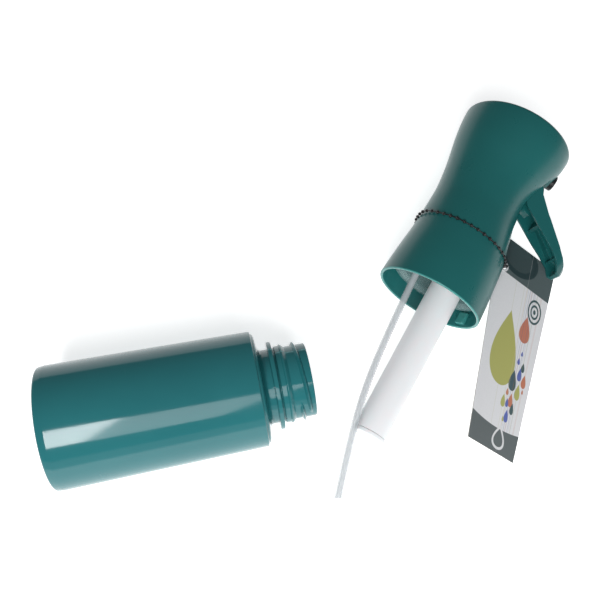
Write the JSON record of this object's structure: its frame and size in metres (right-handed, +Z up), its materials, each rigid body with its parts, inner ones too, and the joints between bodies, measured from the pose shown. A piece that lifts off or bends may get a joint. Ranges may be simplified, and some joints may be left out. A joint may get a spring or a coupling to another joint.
{
  "type": "hand mister",
  "caption": "Hand mister lying taken apart: tinted bottle with threaded neck, waisted trigger sprayer head with pressure cylinder and dip tube, and a blank hang tag.",
  "frame": {"origin": "middle of the footprint, on the surface the bottle and head lie on", "axes": "+Z up from the surface, +X along the row's longest side, from the bottle's base towards the head"},
  "size_m": [0.24, 0.1842, 0.0543],
  "materials": {
    "bottle_plastic": "glossy tinted PET, nearly opaque",
    "head_plastic": "satin-gloss moulded polypropylene",
    "white_plastic": "smooth white moulded plastic",
    "clear_plastic": "clear, slightly tinted plastic",
    "tube_plastic": "translucent polyethylene",
    "black_plastic": "black moulded plastic",
    "seal_rubber": "soft moulded rubber",
    "spring_steel": "stainless spring wire",
    "pin_steel": "stainless pin",
    "tag_card": "coated printed card",
    "eyelet": "white reinforcing ring",
    "tie": "black beaded cord"
  },
  "bodies": {
    "bottle": {"bottle": "bottle_plastic"},
    "head": {"head_shroud": "head_plastic", "engine_frame": "clear_plastic", "screw_collar": "clear_plastic", "neck_gasket": "seal_rubber", "buffer_cylinder": "white_plastic", "buffer_end_cap": "white_plastic", "buffer_spring": "spring_steel", "dip_tube": "tube_plastic", "tube_socket": "clear_plastic", "suction_duct": "clear_plastic", "pump_cylinder": "white_plastic", "pump_return_spring": "spring_steel", "discharge_tube": "tube_plastic", "valve_housing": "white_plastic", "outlet_valve_spring": "spring_steel", "nozzle_swirl": "white_plastic", "nozzle_bezel": "black_plastic", "nozzle_insert": "white_plastic", "trigger_pivot_pin": "pin_steel", "tie_string": "tie", "tie_beads": "tie"},
    "trigger": {"trigger": "head_plastic"},
    "pump_piston": {"pump_piston": "white_plastic", "pump_piston_seal": "seal_rubber"},
    "buffer_piston": {"buffer_piston": "white_plastic", "buffer_piston_seal": "seal_rubber"},
    "inlet_ball": {"inlet_ball": "spring_steel"},
    "outlet_valve": {"outlet_valve": "white_plastic"},
    "hang_tag": {"tag_card": "tag_card", "tag_eyelet": "eyelet"}
  },
  "joints": [
    {"name": "head_apart", "type": "slide", "parent": "bottle", "child": "head", "axis": [0.5032, 0.8642, 0], "range_m": [0, 0.12]},
    {"name": "trigger_pull", "type": "hinge", "parent": "head", "child": "trigger", "pos_m": [0.09874, 0.0555, 0.02412], "axis": [-0.169, 0.1229, -0.9779], "range_deg": [0, 20], "stiffness_Nm_per_rad": 0.12},
    {"name": "pump_stroke", "type": "slide", "parent": "head", "child": "pump_piston", "axis": [-0.8476, 0.4883, 0.2079], "range_m": [0, 0.0049], "deforming": ["pump_return_spring"]},
    {"name": "buffer_stroke", "type": "slide", "parent": "head", "child": "buffer_piston", "axis": [-0.4867, -0.8732, -0.0256], "range_m": [0, 0.03], "stiffness_N_per_m": 400, "deforming": ["buffer_spring"]},
    {"name": "inlet_ball_lift", "type": "slide", "parent": "head", "child": "inlet_ball", "axis": [0.5031, 0.864, 0.0216], "range_m": [0, 0.0012]},
    {"name": "outlet_valve_lift", "type": "slide", "parent": "head", "child": "outlet_valve", "axis": [0.8476, -0.4883, -0.2079], "range_m": [0, 0.0012], "stiffness_N_per_m": 150, "deforming": ["outlet_valve_spring"]},
    {"name": "tag_flap", "type": "hinge", "parent": "head", "child": "hang_tag", "pos_m": [0.09074, 0.01976, 0.00881], "axis": [-0.2585, -0.9637, 0.067], "range_deg": [0, 6]}
  ],
  "couplings": [
    {"joint": "pump_stroke", "follows": "trigger_pull", "m_per_rad": 0.0138}
  ]
}
